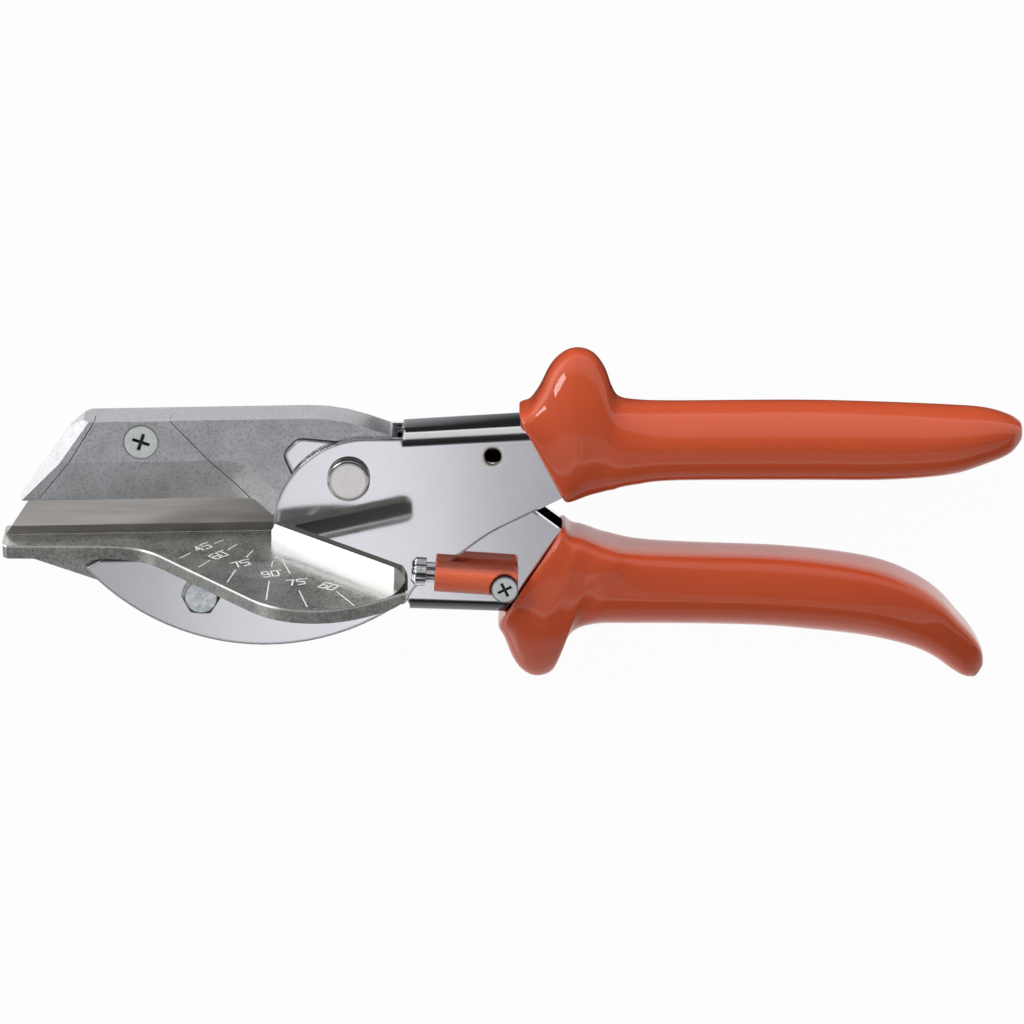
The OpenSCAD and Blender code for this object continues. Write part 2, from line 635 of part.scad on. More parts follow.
// Return spring and its seats
spring_x = 26;
seat_t = 1.4;
peg_l = 4;
seat_foot_d = 2 * (inner_face - bend_r);
coil_r = (spring_d - wire_d) / 2;
peg_d = spring_d - 2 * wire_d - 0.8;
seat_d = min(spring_d, 2 * inner_inside - 0.4);
upper_seat = [spring_x, spine_y(spring_x) - sheet - seat_gap];
lower_seat = [spring_x, inner_spine(spring_x) + sheet + seat_gap];
spring_gap = 0.15;
spring_top = upper_seat - [0, seat_t + spring_gap + wire_d / 2];
spring_foot = lower_seat + [0, seat_t + spring_gap + wire_d / 2];
spring_l = norm(spring_top - spring_foot);
end_pitch = wire_d + 0.6;
mid_pitch = (spring_l - 2 * end_pitch) / (turns - 2);
rings_per_turn = 8;
wire_sides = 6;

function coil_height(t) = t < 1 ? t * end_pitch
    : t < turns - 1 ? end_pitch + (t - 1) * mid_pitch
    : spring_l - (turns - t) * end_pitch;

coil_path = [for (i = [0:turns * rings_per_turn]) let (t = i / rings_per_turn)
    [coil_r * cos(360 * t), coil_r * sin(360 * t), coil_height(t)]];

coil_gap = min([for (i = [0:len(coil_path) - 1]) for (j = [i + rings_per_turn / 2:1:len(coil_path) - 1])
    norm(coil_path[i] - coil_path[j]) - wire_d]);

module spring_seat() rotate([90, 0, 0]) {
    cylinder(d1 = seat_foot_d, d2 = seat_d, h = seat_t);
    cylinder(d = peg_d, h = seat_t + peg_l);
}

module upper_spring_seat() color(zinc) at_mid() translate(upper_seat) rotate([0, 0, spine_rise]) spring_seat();

module lower_spring_seat() color(zinc) at_mid() translate(lower_seat) rotate([0, 0, 180 - inner_fall])
    spring_seat();

module return_spring() {
    echo(least_spring_gap = coil_gap);
    last = len(coil_path) - 1;
    points = [for (i = [0:last]) let (a = 360 * i / rings_per_turn) for (j = [0:wire_sides - 1])
        let (b = 360 * j / wire_sides)
        coil_path[i] + wire_d / 2 * [cos(b) * cos(a), cos(b) * sin(a), sin(b)]];
    sides = [for (i = [0:last - 1]) for (j = [0:wire_sides - 1])
        let (k = (j + 1) % wire_sides, a = i * wire_sides + j, b = i * wire_sides + k)
        let (c = b + wire_sides, d = a + wire_sides)
        each [[a, b, c], [a, c, d]]];
    ends = [for (j = [1:wire_sides - 2]) each [[0, j + 1, j],
        [last * wire_sides, last * wire_sides + j, last * wire_sides + j + 1]]];
    color(zinc) at_mid() translate(spring_foot) rotate([-90, 0, 0]) polyhedron(points, concat(sides, ends));
}

// Latch, drawn from its screw towards the open end of the sleeve
latch_heading = 176;
sleeve_clear = 0.3;
sleeve_z = outer_face + sleeve_d / 2 - 0.9;
sleeve_back = outer_face + sleeve_clear;
sleeve_heel = 2.9;
sleeve_side = sleeve_d / 2 + 0.15;
sleeve_off = 1.2;
spot_z = sleeve_z + 1.6;
latch_play = 0.05;
latch_head_h = 1.8;
latch_nut_h = 2.4;
neck_l = 2.1;
neck_deep = 7;
knob_h = 3.4;
knob_bevel = 1;
collar_l = 1.6;

module at_latch() at_mid() translate(latch_at) rotate([0, 0, latch_heading]) children();

module along_sleeve(x) translate([x, -sleeve_off, sleeve_z]) rotate([0, 90, 0]) children();

module latch_sleeve() color(orange) at_latch() difference() {
    intersection() {
        along_sleeve(-sleeve_heel) cylinder(d = sleeve_d, h = sleeve_heel + sleeve_l);
        layer(sleeve_back, 4 * sleeve_z) polygon(rounded([
            [-sleeve_heel, -sleeve_side - sleeve_off, 2.2], [sleeve_l, -sleeve_side - sleeve_off, 1],
            [sleeve_l, sleeve_side - sleeve_off, 1], [-sleeve_heel, sleeve_side - sleeve_off, 2.2]]));
    }
    along_sleeve(sleeve_l - neck_deep) cylinder(d = neck_d + 2 * seat_gap, h = neck_deep + cut);
    cylinder(d = latch_screw_d + 2 * latch_play, h = 4 * outer_w);
    translate([0, 0, spot_z]) cylinder(d = latch_head_d + 0.8, h = outer_w);
}

module latch_pin() color(zinc) at_latch() {
    along_sleeve(sleeve_l - neck_deep + seat_gap) cylinder(d = neck_d, h = neck_deep + neck_l);
    along_sleeve(sleeve_l + neck_l) cylinder(d = knob_d, h = knob_h - knob_bevel);
    along_sleeve(sleeve_l + neck_l + knob_h - knob_bevel)
        cylinder(d1 = knob_d, d2 = knob_d - 2 * knob_bevel, h = knob_bevel);
}

module latch_spacer() color(zinc) at_latch() translate([0, 0, inner_face]) difference() {
    cylinder(d = latch_head_d, h = sleeve_back - inner_face - latch_play);
    translate([0, 0, -cut]) cylinder(d = latch_screw_d + 2 * seat_gap, h = outer_w);
}

module latch_screw() color(zinc) at_latch() difference() {
    union() {
        translate([0, 0, inner_inside - latch_nut_h]) cylinder(d = latch_screw_d, h = spot_z - inner_inside + latch_nut_h);
        translate([0, 0, spot_z + latch_play]) cylinder(d = latch_head_d, h = latch_head_h);
        translate([0, 0, spot_z - cut]) cylinder(d = latch_screw_d, h = latch_head_h);
    }
    translate([0, 0, spot_z + latch_play + latch_head_h]) rotate([0, 0, 30]) cross_recess(3.6, 1);
}

module latch_nut() color(zinc) at_latch() translate([0, 0, inner_inside - latch_nut_h]) difference() {
    hex_prism(latch_nut_af, latch_nut_h);
    translate([0, 0, -cut]) cylinder(d = latch_screw_d + 2 * seat_gap, h = latch_nut_h + 2 * cut);
}

outer_channel();
upper_grip();
anvil_table();
anvil_bolt();
anvil_nut();
pivot_bolt();
pivot_nut();
upper_spring_seat();
return_spring();
inner_channel();
lower_grip();
blade_holder();
blade_clamp();
clamp_screw();
blade();
blade_pins();
holder_rivets();
lower_spring_seat();
latch_spacer();
latch_screw();
latch_nut();
latch_sleeve();
latch_pin();
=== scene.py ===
"""Looks of a pair of mitre shears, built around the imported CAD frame.

Units are metres. Most lengths are written in millimetres and turned into metres by MM or
mm(). Those of the camera, the stage and the relief of materials are in metres.
"""

import math

import bpy
import numpy as np
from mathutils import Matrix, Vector


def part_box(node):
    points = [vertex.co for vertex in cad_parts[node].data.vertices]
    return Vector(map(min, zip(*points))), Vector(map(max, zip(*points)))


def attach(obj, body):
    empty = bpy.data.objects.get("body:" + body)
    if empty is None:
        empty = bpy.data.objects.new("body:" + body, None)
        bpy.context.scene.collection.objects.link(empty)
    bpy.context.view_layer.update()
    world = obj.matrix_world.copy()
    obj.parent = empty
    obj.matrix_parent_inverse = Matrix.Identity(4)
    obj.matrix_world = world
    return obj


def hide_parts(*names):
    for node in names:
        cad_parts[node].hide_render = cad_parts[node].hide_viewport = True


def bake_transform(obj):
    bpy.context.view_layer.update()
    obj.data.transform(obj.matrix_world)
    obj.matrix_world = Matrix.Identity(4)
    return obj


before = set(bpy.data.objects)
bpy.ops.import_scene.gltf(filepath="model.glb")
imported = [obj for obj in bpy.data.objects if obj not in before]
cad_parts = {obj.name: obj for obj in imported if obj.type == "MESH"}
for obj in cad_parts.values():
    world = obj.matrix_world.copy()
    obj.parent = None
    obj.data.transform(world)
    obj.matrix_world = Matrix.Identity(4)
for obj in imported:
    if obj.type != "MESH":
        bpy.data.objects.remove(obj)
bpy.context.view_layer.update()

MM = 0.001
MID_Z = 10.4

# Plane of the table: below the pivot, sloping to the front, tilted with the head about its heel
TABLE_DROP = 14.95
TABLE_SLOPE = math.radians(5)
HEAD_TILT = math.radians(1)
HEAD_HEEL = (-19.0, -15.0)


def mm(*lengths):
    return tuple(length * MM for length in lengths)


# Node graphs

# Indices of the two inputs and the output of a Mix node, by the kind of its values
MIX_SOCKETS = {"RGBA": (6, 7, 2), "VECTOR": (4, 5, 1)}
BEVEL_SAMPLES = 6


class Graph:
    """A short way to write a node tree."""

    def __init__(self, tree):
        self.tree = tree
        tree.nodes.clear()

    def put(self, socket, value):
        """Links a socket to another one or sets its value. A colour is three numbers."""
        if isinstance(value, bpy.types.NodeSocket):
            self.tree.links.new(value, socket)
        elif socket.type == "RGBA":
            socket.default_value = (*value, 1)
        else:
            socket.default_value = value

    def fill(self, sockets, values):
        for key, value in values.items():
            self.put(sockets[key], value)

    def add(self, kind, inputs=None, **settings):
        node = self.tree.nodes.new(kind)
        for key, value in settings.items():
            setattr(node, key, value)
        self.fill(node.inputs, inputs or {})
        return node

    def math(self, operation, a, b=0.0):
        return self.add("ShaderNodeMath", {0: a, 1: b}, operation=operation).outputs[0]

    def times(self, product, *others):
        for other in others:
            product = self.math("MULTIPLY", product, other)
        return product

    def vector(self, operation, a, b=(0, 0, 0), result="Vector"):
        node = self.add("ShaderNodeVectorMath", {0: a, 1: b}, operation=operation)
        return node.outputs[result]

    def ramp(self, value, stops):
        node = self.add("ShaderNodeValToRGB", {"Fac": value})
        elements = node.color_ramp.elements
        while len(elements) < len(stops):
            elements.new(0.5)
        for element, (place, colour) in zip(elements, stops):
            element.position = place
            element.color = (*colour, 1)
        return node.outputs["Color"]

    def noise(self, vector, scale, detail, rough=0.55):
        inputs = {"Vector": vector, "Scale": scale, "Detail": detail, "Roughness": rough}
        return self.add("ShaderNodeTexNoise", inputs).outputs["Fac"]

    def spread(self, value, low, high, start=0.0, end=1.0):
        """Goes from low to high as the value goes from start to end."""
        inputs = {
            "Value": value, "From Min": start, "From Max": end, "To Min": low, "To Max": high}
        return self.add("ShaderNodeMapRange", inputs).outputs["Result"]

    def rise(self, value, start, end, top=1.0):
        return self.spread(value, 0.0, top, start, end)

    def fall(self, value, start, end, top=1.0):
        return self.spread(value, top, 0.0, start, end)

    def stretched(self, vector, scale):
        return self.add("ShaderNodeMapping", {"Vector": vector, "Scale": scale}).outputs["Vector"]

    def mix(self, factor, a, b, kind="RGBA"):
        first, second, result = MIX_SOCKETS[kind]
        node = self.add("ShaderNodeMix", {"Factor": factor}, data_type=kind)
        self.fill(node.inputs, {first: a, second: b})
        return node.outputs[result]

    def layers(self, colour, *coats):
        """Lays coats over a colour in turn, each a mask and its own colour."""
        for mask, coat in coats:
            colour = self.mix(mask, colour, coat)
        return colour

    def bump(self, height, strength, distance, base=None):
        inputs = {"Height": height, "Strength": strength, "Distance": distance}
        if base is not None:
            inputs["Normal"] = base
        return self.add("ShaderNodeBump", inputs).outputs["Normal"]

    def eased(self, radius):
        """The normal with edges rounded by a radius in millimetres."""
        inputs = {"Radius": radius * MM}
        return self.add("ShaderNodeBevel", inputs, samples=BEVEL_SAMPLES).outputs["Normal"]

    def place(self):
        return self.add("ShaderNodeTexCoord").outputs["Object"]

    def own_normal(self):
        """The normal in the object's own axes."""
        return self.add("ShaderNodeTexCoord").outputs["Normal"]

    def world_normal(self, name="Normal"):
        return self.add("ShaderNodeNewGeometry").outputs[name]

    def axes(self, vector):
        return tuple(self.add("ShaderNodeSeparateXYZ", {0: vector}).outputs)

    def axis(self, vector, name):
        return self.add("ShaderNodeSeparateXYZ", {0: vector}).outputs[name]

    def from_axis(self, place, centre):
        """The way to a place from an axis along Z, and its length. The centre is in metres."""
        flat = self.vector("SUBTRACT", place, (centre[0], centre[1], 0))
        flat = self.vector("MULTIPLY", flat, (1, 1, 0))
        return flat, self.vector("LENGTH", flat, result="Value")


def bare_material(name):
    made = bpy.data.materials.new(name)
    made.use_nodes = True
    return made, Graph(made.node_tree)


def new_material(name):
    """A material with a principled shader, with its graph and the shader's inputs."""
    made, graph = bare_material(name)
    shader = graph.add("ShaderNodeBsdfPrincipled")
    out = graph.add("ShaderNodeOutputMaterial")
    graph.put(out.inputs[0], shader.outputs[0])
    return made, graph, shader.inputs


# Metals

# Noises: detail and roughness, after the scale where it is always the same
BROAD = 40.0
CLOUDY = (5.0, 0.62)
GRAINY = (4.0, 0.6)
MOTTLE = (150.0, 6.0, 0.68)
SPECKS = (1300.0, 4.0, 0.75)
HEAD_CLOUDS = (700.0, 5.0, 0.7)
SCREW_CLOUDS = (500.0, 5.0, 0.65)
GRINDING_LINES = (1500.0, 5.0, 0.7)
GRINDING_BANDS = (260.0, 3.0, 0.6)
MARK_WEAR = (900.0, 4.0, 0.7)
POLISH = 700.0

# Noises stretched along the tool
POLISH_STRETCH = (1, 5, 5)
LINES_STRETCH = (0.03, 1, 1)
BANDS_STRETCH = (0.08, 1, 1)

# Heights of the relief, in metres
FINE_RELIEF = 0.00002
CAST_RELIEF = 0.00004
HEAD_RELIEF = 0.00005

WHITE = (1.0, 1.0, 1.0)
BRIGHT = (1.0, 1.0, 0.98)


def metal(name, dark, light, rough, grain, depth, cloud=BROAD):
    """A plain metal with a cloudy colour, an uneven gloss and a fine grain."""
    made, g, surface = new_material(name)
    place = g.place()
    clouds = g.rise(g.noise(place, cloud, *CLOUDY), 0.3, 0.7)
    grains = g.noise(place, grain, *GRAINY)
    g.fill(surface, {
        "Base Color": g.mix(clouds, dark, light),
        "Metallic": 1.0,
        "Roughness": g.spread(grains, *rough),
        "Normal": g.bump(grains, depth, FINE_RELIEF)})
    return made


CAST_FLECK = (0.97, 0.97, 0.95)
CAST_PIT = (0.10, 0.10, 0.10)
CAST_METALLIC = 0.8
CAST_DEPTH = 0.45


def cast_body(g, place, dark, light, fleck):
    """Colour of tumbled cast metal, mottled under light flecks and dark pits, and both noises."""
    mottle = g.rise(g.noise(place, *MOTTLE), 0.34, 0.66)
    speck = g.noise(place, *SPECKS)
    flecks = g.rise(speck, 0.47, 0.66, fleck)
    pits = g.fall(speck, 0.34, 0.47, fleck)
    body = g.layers(g.mix(mottle, dark, light), (flecks, CAST_FLECK), (pits, CAST_PIT))
    return body, mottle, speck


def cast_surface(g, surface, body, mottle, speck, rough):
    g.fill(surface, {
        "Base Color": body,
        "Metallic": CAST_METALLIC,
        "Roughness": g.spread(mottle, *rough),
        "Normal": g.bump(speck, CAST_DEPTH, CAST_RELIEF)})


# Colours of painted shade on the holder's top and underside
HOLDER_TOP_SHADE = (0.22, 0.22, 0.23)
HOLDER_UNDERSIDE_SHADE = (0.16, 0.17, 0.18)


def holder_metal(name, dark, light, fleck, rough):
    """Cast holder, with painted shade on the faces that look up or down and a painted highlight on
    the faces that look left, at its left end.
    """
    made, g, surface = new_material(name)
    body, mottle, speck = cast_body(g, g.place(), dark, light, fleck)
    across, upright, _ = g.axes(g.own_normal())
    # Painted shade on faces that look down or up, and a painted highlight on faces that look left
    underside_shade = g.fall(upright, -0.12, -0.04, 0.19)
    left_highlight = g.fall(across, -0.70, -0.45, 0.40)
    top_shade = g.rise(upright, 0.75, 0.95, 0.55)
    body = g.layers(body, (underside_shade, HOLDER_UNDERSIDE_SHADE), (left_highlight, WHITE), (top_shade, HOLDER_TOP_SHADE))
    cast_surface(g, surface, body, mottle, speck, rough)
    return made


# Colours of painted shade on the table and its fence
TABLE_FRONT_SHADE = (0.06, 0.06, 0.055)
TABLE_RIM_SHADE = (0.05, 0.05, 0.05)
FENCE_END_SHADE = (0.08, 0.08, 0.07)
FENCE_CREST_SHADE = (0.24, 0.24, 0.21)
FENCE_BACK_SHADE = (0.02, 0.017, 0.015)


def table_cast(name, dark, light, fleck, rough):
    """Cast table, ground on top, with painted shade towards its front, round its rim and on the
    fence's end, crest and back, and painted highlights on the fence, at its foot and on the brink
    of the edge.
    """
    made, g, surface = new_material(name)
    place = g.place()
    body, mottle, speck = cast_body(g, place, dark, light, fleck)
    x, y, z = g.axes(place)
    across, upright, _ = g.axes(g.own_normal())

    # Height above the plane of the table
    slope = g.times(g.math("SUBTRACT", z, MID_Z * MM), math.tan(TABLE_SLOPE))
    tilt = g.times(g.math("SUBTRACT", x, HEAD_HEEL[0] * MM), math.tan(HEAD_TILT))
    height = g.math("ADD", g.math("ADD", y, slope), TABLE_DROP * MM)
    height = g.math("SUBTRACT", height, tilt)

    # On the plane itself: painted shade to the front and a painted highlight at the fence's foot
    on_top = g.rise(height, *mm(-0.3, -0.1))
    to_front = g.rise(z, *mm(24, 52), 0.62)
    front_shade = g.times(to_front, g.spread(x, 1.0, 0.3, *mm(-22, -4)), on_top)
    near_fence = g.fall(g.math("SUBTRACT", z, x), *mm(40, 46.5), 0.9)
    foot = g.times(near_fence, g.rise(x, *mm(-18.3, -17.3)), on_top)

    # On the fence: a painted highlight on its face, and painted shade on its end, its crest and its
    # back
    fence = g.times(g.fall(across, -0.1, 0.1), g.rise(height, *mm(0.03, 1.0)))
    end = g.times(fence, g.rise(x, *mm(10.9, 11.2), 0.92))
    crest_shade = g.times(g.rise(upright, 0.72, 0.86, 0.85), g.rise(height, *mm(1.2, 1.8)))
    back_shade = g.times(g.rise(across, 0.15, 0.4, 0.97), g.rise(height, *mm(-0.2, 0.2)),
                     g.fall(upright, 0.45, 0.65))

    # On the edge: painted shade on the rim, darkest where it faces left, and a painted highlight on
    # the brink above it
    rim_shade = g.times(g.fall(height, *mm(-0.75, -0.45)), g.spread(across, 0.66, 0.12, -0.55, -0.25))
    painted_edge = g.times(g.rise(height, *mm(-0.65, -0.45), 0.9), g.fall(height, *mm(-0.12, -0.06)))

    # Painted shade and painted highlights laid over the cast colour
    body = g.layers(
        body, (front_shade, TABLE_FRONT_SHADE), (foot, BRIGHT), (g.times(fence, 0.95), BRIGHT),
        (end, FENCE_END_SHADE), (crest_shade, FENCE_CREST_SHADE), (rim_shade, TABLE_RIM_SHADE), (painted_edge, BRIGHT),
        (back_shade, FENCE_BACK_SHADE))
    cast_surface(g, surface, body, mottle, speck, rough)
    return made


# Painted shade on a head's edge, its outline and its lower corners
HEAD_EDGE_SHADE = (0.40, 0.40, 0.39)
HEAD_RIM_SHADE = (0.14, 0.14, 0.14)
HEAD_SHADE = (0.015, 0.017, 0.02)


def head_metal(name, centre, radius, ring, dark, light, corners=0.0):
    """Zinc head: a mottled pale face inside a grey edge and a dark outline, both painted shade.

    The centre is in metres, the radius and the start of the edge are in millimetres. The
    corners of the lower half lie in shade by the share given.
    """
    made, g, surface = new_material(name)
    place = g.place()
    flat, reach = g.from_axis(place, centre)
    clouds = g.noise(place, *HEAD_CLOUDS)
    # Painted shade: a grey band from the ring outward and a dark outline at the rim
    edge = g.rise(reach, *mm(ring, ring + 0.15), 0.55)
    rim_shade = g.rise(reach, *mm(radius - 0.22, radius - 0.05), 0.8)
    body = g.mix(g.rise(clouds, 0.36, 0.64), dark, light)
    body = g.layers(body, (edge, HEAD_EDGE_SHADE), (rim_shade, HEAD_RIM_SHADE))
    if corners:
        lower = g.fall(g.axis(flat, "Y"), *mm(-0.5, 1.8), corners)
        corner = g.rise(reach, *mm(radius - 0.12, radius))
        body = g.mix(g.times(lower, corner), body, HEAD_SHADE)
    g.fill(surface, {
        "Base Color": body,
        "Metallic": 0.95,
        "Roughness": g.spread(clouds, 0.10, 0.20),
        "Normal": g.bump(clouds, 0.35, HEAD_RELIEF)})
    return made


CHROME_DARK = (0.84, 0.84, 0.87)
CHROME_LIGHT = (0.90, 0.90, 0.925)
# A warm tint round the hole, and the colour of painted shade on edges and painted dark reflection
# on bends
CHROME_WARM_RING = (0.93, 0.86, 0.76)
CHROME_PAINTED_DARK = (0.07, 0.07, 0.08)
CHROME_EASE = 0.9
EASED_TO_X = (43.5, 44.5)


def channel_chrome(name, hole):
    """Chrome polished lengthwise, with painted shade along its edges, painted dark reflections on
    its bends and a warm tint round a hole.
    """
    made, g, surface = new_material(name)
    place = g.place()
    x = g.axis(place, "X")
    clouds = g.rise(g.noise(place, BROAD, *CLOUDY), 0.3, 0.7)
    lines = g.noise(g.stretched(place, POLISH_STRETCH), POLISH, *GRAINY)
    _, reach = g.from_axis(place, mm(*hole))
    # A warm tint round the hole
    warm_ring = g.fall(reach, *mm(2.4, 3.6), 0.8)

    # Painted shade along the edges left of the grips, where the eased normal leaves the true one
    eased = g.eased(CHROME_EASE)
    flatness = g.vector("DOT_PRODUCT", eased, g.world_normal("True Normal"), "Value")
    painted_edge = g.times(g.fall(flatness, 0.82, 0.96), g.fall(x, *mm(*EASED_TO_X)))

    # Painted dark reflections on the bends, by how far the surface turns up or down
    turned = g.axis(g.world_normal(), "Y")
    painted_bend_above = g.times(g.rise(turned, 0.05, 0.12, 0.8), g.fall(turned, 0.26, 0.38))
    painted_bend_below = g.times(g.fall(turned, -0.22, -0.10, 0.9), g.rise(turned, -0.92, -0.78))

    body = g.layers(
        g.mix(clouds, CHROME_DARK, CHROME_LIGHT), (warm_ring, CHROME_WARM_RING), (painted_edge, CHROME_PAINTED_DARK),
        (g.math("ADD", painted_bend_above, painted_bend_below), CHROME_PAINTED_DARK))
    normal = g.mix(g.rise(x, *mm(*EASED_TO_X)), eased, g.world_normal(), "VECTOR")
    g.fill(surface, {
        "Base Color": body,
        "Metallic": 1.0,
        "Roughness": g.spread(lines, 0.05, 0.10),
        "Normal": g.bump(lines, 0.03, FINE_RELIEF, normal)})
    return made


BLADE_DARK = (0.62, 0.585, 0.555)
BLADE_LIGHT = (0.90, 0.86, 0.82)
# Colour of painted shade on the cutting bevel
BLADE_BEVEL_SHADE = (0.07, 0.063, 0.058)


def ground_steel(name):
    """Ground blade steel: long fine lines, with painted shade on the cutting bevel, found by its
    downward normal.
    """
    made, g, surface = new_material(name)
    place = g.place()
    lines = g.noise(g.stretched(place, LINES_STRETCH), *GRINDING_LINES)
    bands = g.noise(g.stretched(place, BANDS_STRETCH), *GRINDING_BANDS)
    tone = g.math("ADD", g.times(lines, 0.45), g.times(bands, 0.55))
    # Painted shade on faces that turn down: the cutting bevel
    bevel_shade = g.fall(g.axis(g.own_normal(), "Y"), -0.25, -0.06)
    body = g.mix(g.rise(tone, 0.35, 0.65), BLADE_DARK, BLADE_LIGHT)
    g.fill(surface, {
        "Base Color": g.mix(bevel_shade, body, BLADE_BEVEL_SHADE),
        "Metallic": 0.9,
        "Roughness": g.spread(lines, 0.24, 0.36),
        "Normal": g.bump(lines, 0.30, FINE_RELIEF)})
    return made


SCREW_DARK = (0.78, 0.82, 0.83)
SCREW_LIGHT = (0.99, 1.0, 1.0)
# Colours of painted shade round the head's edge and in the cross recess
SCREW_OUTLINE_SHADE = (0.12, 0.13, 0.13)
SCREW_RECESS_SHADE = (0.05, 0.06, 0.06)
RECESS_DEPTH = 0.6 * MM


def screw_metal(name, node):
    """Bright zinc, with painted shade where a cross recess goes below the face and round the head's
    edge.
    """
    made, g, surface = new_material(name)
    low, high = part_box(node)
    middle, top, radius = (low + high) / 2, high.z, (high.x - low.x) / 2
    place = g.place()
    _, reach = g.from_axis(place, middle)
    # Painted shade round the head's edge and in the recess
    outline_shade = g.rise(reach, radius - 0.42 * MM, radius - 0.2 * MM, 0.8)
    recess_shade = g.fall(g.axis(place, "Z"), top - RECESS_DEPTH, top - 0.1 * RECESS_DEPTH)
    clouds = g.noise(place, *SCREW_CLOUDS)
    body = g.mix(g.rise(clouds, 0.35, 0.65), SCREW_DARK, SCREW_LIGHT)
    g.fill(surface, {
        "Base Color": g.layers(body, (outline_shade, SCREW_OUTLINE_SHADE), (recess_shade, SCREW_RECESS_SHADE)),
        "Metallic": 0.4,
        "Roughness": g.spread(clouds, 0.22, 0.42),
        "Normal": g.bump(clouds, 0.3, CAST_RELIEF)})
    return made


MARK_DARK = (0.72, 0.72, 0.70)


def mark_metal():
    """The bright stamped marks of the table, worn through in places."""
    made, g, surface = new_material("mark_metal")
    wear = g.rise(g.noise(g.place(), *MARK_WEAR), 0.35, 0.60)
    g.fill(surface, {
        "Base Color": g.mix(wear, MARK_DARK, BRIGHT),
        "Metallic": 0.05,
        "Roughness": g.spread(wear, 0.55, 0.35)})
    return made


# Plastics

VINYL_DARK = (0.68, 0.096, 0.033)
VINYL_LIGHT = (0.74, 0.112, 0.039)
VINYL_CLOUDS = (45.0, 4.0)
VINYL_RIPPLE = (160.0, 2.0)
VINYL_PORES = (2200.0, 2.0)
SKIN_RELIEF = 0.0006


def dipped_vinyl():
    """Glossy dipped vinyl: a saturated body under a clear skin with a faint ripple."""
    made, g, surface = new_material("grip_vinyl")
    place = g.place()
    clouds = g.noise(place, *VINYL_CLOUDS)
    ripple = g.noise(place, *VINYL_RIPPLE)
    pores = g.noise(place, *VINYL_PORES)
    g.fill(surface, {
        "Base Color": g.mix(clouds, VINYL_DARK, VINYL_LIGHT),
        "Roughness": g.spread(pores, 0.45, 0.55),
        "Specular IOR Level": 0.15,
        "Coat Weight": 1.0,
        "Coat Roughness": 0.05,
        "Coat Normal": g.bump(ripple, 0.05, SKIN_RELIEF)})
    return made


SLEEVE_DARK = (0.86, 0.135, 0.054)
SLEEVE_LIGHT = (1.0, 0.20, 0.092)
SLEEVE_SHADE = (0.13, 0.025, 0.014)
SLEEVE_CLOUDS = (400.0, 4.0)
SLEEVE_EASE = 0.9
RIB_PITCH = 0.00062


def ribbed_plastic():
    """Moulded sleeve with fine ribs along its length, darker in their grooves by painted shade, and
    in painted shade where it turns up or down.
    """
    made, g, surface = new_material("sleeve_plastic")
    place = g.place()
    across = g.times(g.axis(place, "Y"), 2 * math.pi / RIB_PITCH)
    ribs = g.rise(g.math("SINE", across), -1.0, 1.0)
    clouds = g.noise(place, *SLEEVE_CLOUDS)
    # The ribs darken the colour in their grooves: painted shade
    tone = g.times(g.spread(clouds, 0.6, 1.0), g.spread(ribs, 0.45, 1.0))
    upright = g.axis(g.own_normal(), "Y")
    shade = g.math("ADD", g.rise(upright, 0.55, 0.90, 0.85), g.fall(upright, -0.85, -0.45, 0.6))
    body = g.mix(tone, SLEEVE_DARK, SLEEVE_LIGHT)
    g.fill(surface, {
        "Base Color": g.mix(shade, body, SLEEVE_SHADE),
        "Roughness": g.spread(clouds, 0.34, 0.46),
        "Normal": g.bump(ribs, 0.3, CAST_RELIEF, g.eased(SLEEVE_EASE))})
    return made


# Materials of the pieces
bolt_low, bolt_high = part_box("anvil_bolt")
bolt_at = (bolt_low + bolt_high) / 2

outer_chrome = channel_chrome("outer_chrome", hole=(33.4, 5.5))
inner_chrome = channel_chrome("inner_chrome", hole=(60.0, -20.0))
casting = holder_metal(
    "satin_casting", dark=(0.64, 0.65, 0.68), light=(0.86, 0.87, 0.91), fleck=0.40,
    rough=(0.42, 0.52))
table_metal = table_cast(
    "table_metal", dark=(0.36, 0.36, 0.34), light=(0.58, 0.58, 0.55), fleck=0.45,
    rough=(0.24, 0.38))
plated = metal(
    "plated", dark=(0.70, 0.72, 0.73), light=(0.86, 0.87, 0.87), rough=(0.10, 0.22),
    grain=1500, depth=0.15, cloud=400.0)
dark_plated = metal(
    "dark_plated", dark=(0.36, 0.37, 0.39), light=(0.74, 0.76, 0.78), rough=(0.08, 0.16),
    grain=1500, depth=0.15, cloud=500.0)
spring_steel = metal(
    "spring_steel", dark=(0.45, 0.45, 0.46), light=(0.58, 0.58, 0.58), rough=(0.25, 0.35),
    grain=1800, depth=0.2)
pivot_zinc = head_metal(
    "pivot_zinc", centre=(0, 0), radius=4.95, ring=3.9, dark=(0.93, 0.90, 0.85),
    light=(1.0, 0.99, 0.96))
bolt_zinc = head_metal(
    "bolt_zinc", centre=bolt_at, radius=3.85, ring=3.5, dark=(0.50, 0.56, 0.58),
    light=(0.95, 0.99, 1.0), corners=0.95)
blade_steel = ground_steel("blade_steel")
grip_vinyl = dipped_vinyl()
sleeve_plastic = ribbed_plastic()
marks = mark_metal()


# Materials and eased edges of the carried CAD nodes
WELD_GAP = 0.000002
FLAT_ANGLE = math.radians(0.6)
FACE_WEIGHT = 100


